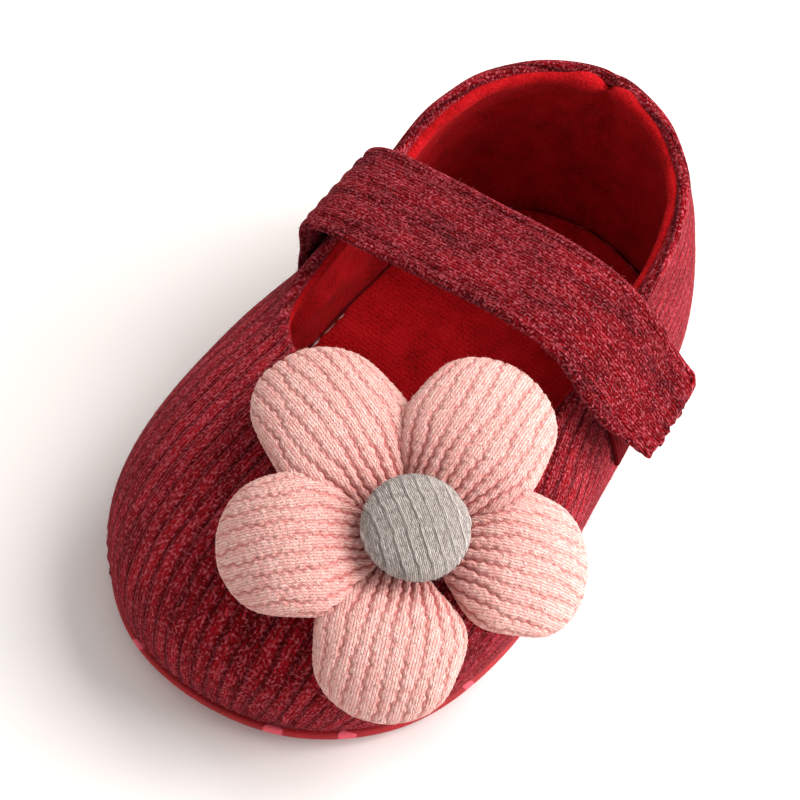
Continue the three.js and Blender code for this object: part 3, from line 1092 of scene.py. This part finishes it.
    def shell(self) -> bpy.types.Object:
        """Builds the knit shell with its rolled rim, puckers and creases."""
        knit, rings = self.layer(is_knit=True)
        write_grid(knit, rings, "cloth", *self.cloth_grid())
        shell = Surface(smoothed(knit, "upper_knit", self.detail))
        reach, around = shell.grid("grid")
        shell.raise_by(sum(crease.heights(shell.points) for crease in self.knit_creases))
        edge = bell(reach, self.rim_width)
        x, y, z = shell.points.T / MM
        shell.raise_by(self.back_seam(x, y) * -0.2 * MM)
        puckers = 0.22 * np.sin(around / MM * 2.3 + 1.5 * wave(around / (9 * MM), 3.0))
        puckers *= bell(z - 8.0, 2.6) * smooth_step(-y, 20.0, 38.0)
        folds = 0.12 * wave(around / (7 * MM), 1.2) * wave(z / 5.0, 0.4)
        shell.raise_by(edge * self.collar + (puckers + folds) * MM)
        shell.note("edge", edge)
        piece = place_piece("upper_knit", shell.mesh, KnitFinish("upper_knit").make())
        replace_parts(piece, "upper")
        return piece

    def lining(self) -> None:
        """Builds the plush lining, parted and rolled over at the heel's seam."""
        plush, _ = self.layer(is_knit=False)
        inner = Surface(smoothed(plush, "upper_lining", self.detail))
        reach, around = inner.grid("grid")
        inner.raise_by(sum(crease.heights(inner.points) for crease in self.lining_creases))
        x, y, z = inner.points.T / MM
        rolls = bell(np.abs(x - self.seam) - 4.0, 2.4) * smooth_step(y, *self.heel)
        rolls = rolls * smooth_step(z, 14.0, 30.0) * 0.6
        notch = self.back_seam(x, y) * smooth_step(z, 8.0, 36.0) * 0.8
        inner.raise_by((rolls - notch) * MM)
        edge = bell(reach - 0.9 * MM, 1.5 * MM)
        folds = 0.3 * wave(around / (8 * MM), 4.0) * smooth_step(reach / MM, 2.0, 8.0)
        inner.raise_by(edge * self.roll * (1 + 0.25 * wave(around / (4 * MM), 2.0)) + folds * MM)
        # The rolled edge's mask, on which the plush paints a slight highlight.
        inner.note("edge", edge)
        plush = PlushFinish("lining_plush").make()
        place_piece("upper_lining", inner.mesh, plush)


@dataclass
class Footbed:
    """The plush insole with its pale core, and the turned outsole."""

    detail: int = 2
    spokes: int = 80
    bare_edge: float = 0.5 * MM
    squash: float = 0.18
    inset: float = 0.35 * MM

    def disc(self, node: str, name: str) -> bpy.types.Mesh:
        """Smooths a flat padded CAD form under a new name."""
        made = merged_copy(node)
        pole = poles_of(made, self.spokes)[0]
        tube(made, pole, lambda vertex: -vertex.co.y, Vector((1, 0, 0)))
        return smoothed(made, name, self.detail)

    def bare(self, skin: Surface) -> np.ndarray:
        """1 along the inner side, where the insole's cover stands back from its core."""
        x, y, _ = skin.points.T / MM
        window = smooth_step(y, 2.0, 4.0) * smooth_step(-y, -17.0, -15.5)
        window = window * smooth_step(-x, 20.0, 23.0)
        return window * (0.8 + 0.35 * wave(y * 1.7, 0.5))

    def build(self) -> None:
        """Builds the insole and the outsole."""
        core = Surface(self.disc("insole", "insole_core"))
        base = core.points[:, 2].min()
        core.move(np.outer((core.points[:, 2] - base) * -self.squash, (0, 0, 1)))
        core.raise_by(-self.inset * (1 - self.bare(core)))
        place_piece("insole_core", core.mesh, FoamFinish("insole_foam").make())
        cover = Surface(self.disc("insole", "insole_cover"))
        cover.move(np.outer(self.bare(cover) * self.bare_edge, (1, 0, 0)))
        plush = PlushFinish("insole_plush", nap=0.6).make()
        piece = place_piece("insole_cover", cover.mesh, plush)
        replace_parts(piece, "insole")
        mesh = self.disc("outsole", "outsole_cloth")
        cloth = SoleFinish("sole_cloth").make()
        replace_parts(place_piece("outsole_cloth", mesh, cloth), "outsole")


@dataclass
class Strap:
    """The knit bar strap and its closing tapes."""

    detail: int = 3
    spokes: int = 12
    half_width: float = 9.2 * MM
    stitch_line: float = 1.7 * MM
    free_end: float = 1.2 * MM
    scallop: float = 3.0 * MM
    tuck: float = 2.5 * MM
    line_width: float = 0.3 * MM
    ridge_pitch: float = 3.3 * MM
    knot_size: tuple[float, float] = (1.1 * MM, 1.3 * MM)
    loop_pitch: float = 0.9 * MM
    stitch_pitch: float = 1.6 * MM

    def build(self) -> bpy.types.Object:
        """Builds the strap and dresses the tapes.

        Returns:
            The strap.
        """
        made = merged_copy("strap")
        pole = min(poles_of(made, self.spokes), key=lambda vertex: vertex.co.x)
        rings = tube(made, pole, lambda vertex: -vertex.co.y, Vector((-1, 0, 0)))
        points = points_of(rings)
        width = points[:, 0] - points[:, len(rings[0]) // 2]
        width /= np.linalg.norm(width, axis=1, keepdims=True)
        middle = points.mean(axis=1, keepdims=True)
        aside = ((closed(points) - middle) * width[:, None]).sum(axis=2)
        along = np.broadcast_to(arc_lengths(middle, 0), aside.shape)
        write_grid(made, rings, "cloth", arc_lengths(closed(points), 1), along)
        write_grid(made, rings, "grid", aside, along)
        skin = Surface(smoothed(made, "strap_knit", self.detail))
        self.shape(skin, float(along.max()), points)
        knit = KnitFinish("strap_knit", furrow=0.2, fade=0.1).make()
        piece = place_piece("strap_knit", skin.mesh, knit)
        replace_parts(piece, "strap")
        self.dress_tapes()
        return piece

    @staticmethod
    def dress_tapes() -> None:
        """Gives the CAD's own tapes their material."""
        tape = TapeFinish("closing_tape").make()
        for node in ("hook_tape", "loop_tape"):
            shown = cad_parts[node]
            shown.data.materials.clear()
            shown.data.materials.append(tape)

    def shape(self, skin: Surface, length: float, points: np.ndarray) -> None:
        """Presses the sewn lines in, gathers the fold and frays the free end."""
        aside, along = skin.grid("grid")
        rim = np.abs(aside) - self.half_width
        line = bell(rim + self.stitch_line, self.line_width)
        piping = smooth_step(rim / MM, -1.5, -0.6)
        ridges = np.cos(aside * math.tau / self.ridge_pitch + 0.5) * bell(along - 22 * MM, 10 * MM)
        slack = 0.15 * wave(along / (9 * MM), 0.4) * np.cos(aside / (5 * MM))
        end = smooth_step(along / MM, length / MM - 2.5, length / MM)
        teeth = np.cos(aside * math.tau / self.scallop + 0.7 * wave(aside / (3 * MM), 1.0))
        wide, tall = self.knot_size
        knots = np.sin(aside * math.tau / wide) * np.cos(along * math.tau / tall)
        heights = piping * 0.22 - line * 0.3 + ridges * 0.17 + slack + end * knots * 0.25
        skin.raise_by(heights * MM)
        x, _, z = skin.points.T / MM
        tuck = smooth_step(-x, 26.0, 31.0) * smooth_step(-z, -37.0, -23.0)
        skin.move(np.outer(tuck * self.tuck, (1, 0, 0)))
        way = points[-1].mean(axis=0) - points[-3].mean(axis=0)
        way /= np.linalg.norm(way)
        loops = 0.22 * np.sin(aside * math.tau / self.loop_pitch)
        reach = end * (self.free_end + (0.4 * teeth + loops) * MM)
        skin.move(reach[:, None] * way)
        skin.note("edge", piping)
        skin.note("line", line * (0.6 + 0.4 * np.sin(along * math.tau / self.stitch_pitch)))


@dataclass
class Flower:
    """Five padded petals and a covered button."""

    petal_detail: int = 4
    button_detail: int = 3
    petal_spokes: int = 16
    button_spokes: int = 24
    rib: float = 2.5 * MM
    furrow_depth: float = 0.45 * MM
    furrow_width: float = 0.27 * MM
    pleat_width: float = 0.5 * MM
    pleat_depth: float = 0.7 * MM
    ladder_depth: float = 0.035 * MM
    fullness: float = 0.3 * MM
    neck_width: float = 0.8
    flatness: float = 0.2
    line_pitch: float = 2.1 * MM
    line_height: float = 0.1 * MM
    line_width: float = 0.15 * MM
    grain: float = 2.52
    reaches: tuple[tuple[str, float], ...] = (
        ("petal_1", 1.0),
        ("petal_2", 1.0),
        ("petal_3", 1.09),
        ("petal_4", 1.0),
        ("petal_5", 1.0),
    )

    def axis(self) -> tuple[Vector, Vector, Vector, Vector]:
        """The flower's middle and its axes: out of the vamp, to the outer side and to the heel."""
        made = merged_copy("flower_button")
        low, high = (pole.co.copy() for pole in poles_of(made, self.button_spokes))
        made.free()
        out = (high - low).normalized()
        side = (Vector((1, 0, 0)) - out * out.x).normalized()
        return low, out, side, out.cross(side)

    def petal(
        self,
        node: str,
        reach: float,
        seed: int,
        centre: Vector,
        out: Vector,
        knit: bpy.types.Material,
    ) -> bpy.types.Object:
        """Builds one petal.

        Args:
            node: The CAD node that it stands for.
            reach: How much longer than that node it is drawn.
            seed: Makes its furrows its own.
            centre: The flower's middle.
            out: The flower's axis.
            knit: The petals' material.

        Returns:
            The petal.
        """
        made = merged_copy(node)
        poles = poles_of(made, self.petal_spokes)
        root, tip = sorted(poles, key=lambda vertex: (vertex.co - centre).length)
        aside = (tip.co - root.co).cross(out)
        rings = tube(made, root, lambda vertex: (vertex.co - root.co).dot(out), aside)
        points = self.shape(points_of(rings), reach, out)
        for ring, row in zip(rings, points):
            for vertex, spot in zip(ring, row):
                vertex.co = spot
        across = arc_lengths(closed(points), 1)
        across -= across[:, -1:] / 2
        along = np.broadcast_to(arc_lengths(points.mean(axis=1, keepdims=True), 0), across.shape)
        write_grid(made, rings, "cloth", across, along)
        skin = Surface(smoothed(made, node + "_knit", self.petal_detail))
        self.furrows(skin, float(along.max()), seed)
        piece = place_piece(node + "_knit", skin.mesh, knit)
        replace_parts(piece, node)
        return piece

    def shape(self, points: np.ndarray, reach: float, out: Vector) -> np.ndarray:
        """Widens a petal's neck, flattens its face and draws it out."""
        up = np.array(out)
        middle = points.mean(axis=1, keepdims=True)
        share = np.linspace(0, 1, len(points))[:, None, None]
        way = middle[-1] - middle[0]
        way = way[0] / np.linalg.norm(way)
        aside = np.cross(way, up)
        aside /= np.linalg.norm(aside)
        local = points - middle
        spread = (local @ aside)[..., None] * aside * self.neck_width * bell(share - 0.17, 0.18)
        rise = np.clip(local @ up, 0, None)[..., None] * up * self.flatness
        longer = ((points - middle[0]) @ way)[..., None] * way * (reach - 1)
        return points + spread - rise * smooth_step(share, 0.15, 0.4) + longer

    def furrows(self, skin: Surface, length: float, seed: int) -> None:
        """Presses the knit's furrows into a petal, gathers its root and notes painted shade for
        both.
        """
        across, along = skin.grid("cloth")
        share = along / length
        neck = np.clip(1 - share * 2.2, 0, 1)
        gather = np.clip(0.5 + share * 1.1, 0.5, 1)
        lane = across / gather / self.rib
        number = np.round(lane)
        wiggle = 0.085 * np.sin(along / (0.28 * MM) + number * 2.1)
        wander = 0.2 * wave(along / (3.2 * MM), seed + number * 1.3)
        gap = (lane - number + wiggle + wander) * self.rib
        gap = (gap + self.rib / 2) % self.rib - self.rib / 2
        strength = 0.75 + 0.25 * wave(along / (2.5 * MM), number * 2.7 + seed)
        furrow = bell(gap, self.furrow_width) * strength
        ladder = self.ladder_depth * np.sin(along / (0.17 * MM) + number * 1.9)
        full = self.fullness * bell(share - 0.36, 0.17)
        pleats = bell(gap, self.pleat_width)
        folds = pleats * neck * self.pleat_depth
        skin.raise_by(full + ladder - folds - furrow * self.furrow_depth)
        # Painted shade mask: the furrows, and the gathered root with its pleats.
        skin.note("furrow", np.clip(furrow * 0.9 + neck * (0.35 + pleats), 0, 1))

    def button(self, centre: Vector, out: Vector, side: Vector, back: Vector) -> bpy.types.Object:
        """Builds the covered button."""
        made = merged_copy("flower_button")
        pole = poles_of(made, self.button_spokes)[0]
        tube(made, pole, lambda vertex: vertex.index, side)
        skin = Surface(smoothed(made, "button_knit", self.button_detail))
        grain = (side * math.cos(self.grain) + back * math.sin(self.grain)).normalized()
        local = skin.points - np.array(centre)
        across = local @ np.array(out.cross(grain))
        along = local @ np.array(grain)
        skin.write("cloth", across, along)
        lane = across / self.line_pitch + 0.12 * wave(along / (1.3 * MM), 1.0)
        gap = (lane - np.round(lane)) * self.line_pitch
        line = bell(gap, self.line_width)
        # The groove beside each line, pressed in and also kept as a painted shade mask.
        furrow = bell(gap - 0.34 * MM, 0.17 * MM) * 0.8
        skin.raise_by(line * self.line_height - furrow * 0.16 * MM)
        skin.note("line", line)
        skin.note("furrow", furrow)
        knit = ButtonFinish("button_knit").make()
        piece = place_piece("button_knit", skin.mesh, knit)
        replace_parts(piece, "flower_button")
        return piece

    def build(self) -> tuple[list[bpy.types.Object], bpy.types.Object]:
        """Builds the petals and the button.

        Returns:
            The petals, and the button.
        """
        knit = PetalFinish("petal_knit").make()
        centre, out, side, back = self.axis()
        petals = [
            self.petal(node, reach, seed, centre, out, knit)
            for seed, (node, reach) in enumerate(self.reaches)
        ]
        return petals, self.button(centre, out, side, back)


@dataclass
class Studio:
    """The pale floor, the soft lights and the photograph's camera."""

    position: Vector = field(default_factory=lambda: Vector((170.0, -296.6, 521.1)) * MM)
    heading: float = math.radians(37.0)
    tilt: float = math.radians(53.74)
    photo_focal: float = 2298.0
    photo_offset: tuple[float, float] = (155.5, 88.0)
    zoom: float = 1.65
    picture: float = 800.0
    sensor: float = 36.0
    floor_half: float = 3.0
    sky: tuple = (1.0, 0.95, 0.92, 1.0)
    sky_strength: float = 0.69

    def camera(self) -> None:
        """Places the camera as it stood to this shoe, turned and zoomed to frame it alone."""
        right = Vector((math.cos(self.heading), math.sin(self.heading), 0))
        ahead = Vector((-right.y, right.x, 0)) * math.cos(self.tilt)
        forward = ahead - Vector((0, 0, math.sin(self.tilt)))
        up = right.cross(forward)
        aside, below = self.photo_offset
        aim = (forward * self.photo_focal + right * aside - up * below).normalized()
        turn = forward.rotation_difference(aim)
        data = bpy.data.cameras.new("camera")
        data.sensor_width = self.sensor
        data.lens = self.sensor * self.photo_focal * self.zoom / self.picture
        data.clip_start = 0.05
        data.clip_end = 50.0
        camera = added("camera", data)
        axes = Matrix((turn @ right, turn @ up, -(turn @ forward))).transposed()
        camera.matrix_world = Matrix.Translation(self.position) @ axes.to_4x4()
        bpy.context.scene.camera = camera

    def floor(self) -> None:
        """Lays the floor."""
        made = bmesh.new()
        bmesh.ops.create_grid(made, x_segments=1, y_segments=1, size=self.floor_half)
        mesh = bpy.data.meshes.new("floor")
        made.to_mesh(mesh)
        made.free()
        plane = added("floor", mesh)
        mesh.materials.append(FloorFinish("floor").make())

    def light(self, name: str, towards: Vector, size: float, power: float, tint: tuple) -> None:
        """Adds a soft square light that faces the shoe.

        Args:
            name: The light's name.
            towards: Where it stands, from the shoe.
            size: Its side in metres.
            power: Its power in watts.
            tint: Its colour.
        """
        data = bpy.data.lights.new(name, "AREA")
        data.size = size
        data.energy = power
        data.color = tint
        lamp = added(name, data)
        lamp.location = towards
        lamp.rotation_mode = "QUATERNION"
        lamp.rotation_quaternion = (-towards).to_track_quat("-Z", "Y")

    def build(self) -> None:
        """Sets up the studio."""
        self.camera()
        self.floor()
        right = Vector((math.cos(self.heading), math.sin(self.heading), 0))
        away = Vector((-right.y, right.x, 0))
        lift = Vector((0, 0, 1))
        key = right * 0.8 + away * 0.28 + lift * 0.85
        side = right * 1.15 - away * 0.2 + lift * 0.4
        self.light("key", key, size=0.9, power=17.5, tint=(1.0, 0.97, 0.94))
        self.light("side", side, size=0.8, power=18.0, tint=(1.0, 0.96, 0.96))
        world = bpy.data.worlds.new("studio")
        world.use_nodes = True
        backdrop = world.node_tree.nodes["Background"]
        backdrop.inputs["Color"].default_value = self.sky
        backdrop.inputs["Strength"].default_value = self.sky_strength
        bpy.context.scene.world = world
        bpy.context.scene.view_settings.view_transform = "Standard"


def grow_fuzz(
    knits: list[bpy.types.Object], petals: list[bpy.types.Object], button: bpy.types.Object
) -> None:
    """Scatters loose fibres over the knits, the petals and the button.

    Args:
        knits: The crimson pieces.
        petals: The flower's petals.
        button: Its button.
    """
    crimson, pink = colour(128, 8, 20), colour(224, 120, 130)
    Fuzz("knit_fuzz", pink, crimson, Slot.KNIT, density=9.0e5).grow(*knits)
    fine = {"radius": 0.02 * MM}
    blush, cream = colour(226, 160, 152), colour(250, 212, 202)
    on_petals = Fuzz("petal_fuzz", cream, blush, Slot.PETAL, 1.3e6, length=0.6 * MM, **fine)
    on_petals.grow(*petals)
    slate, ash = colour(110, 102, 98), colour(190, 182, 176)
    on_button = Fuzz("button_fuzz", ash, slate, Slot.BUTTON, 3.0e6, length=0.7 * MM, **fine)
    on_button.grow(button)


def main() -> None:
    """Builds the shoe's looks piece by piece."""
    logging.basicConfig(level=logging.INFO, format="%(message)s")
    Studio().build()
    knit = Upper().build()
    Footbed().build()
    strap = Strap().build()
    petals, button = Flower().build()
    grow_fuzz([knit, strap], petals, button)


if __name__ == "__main__":
    main()
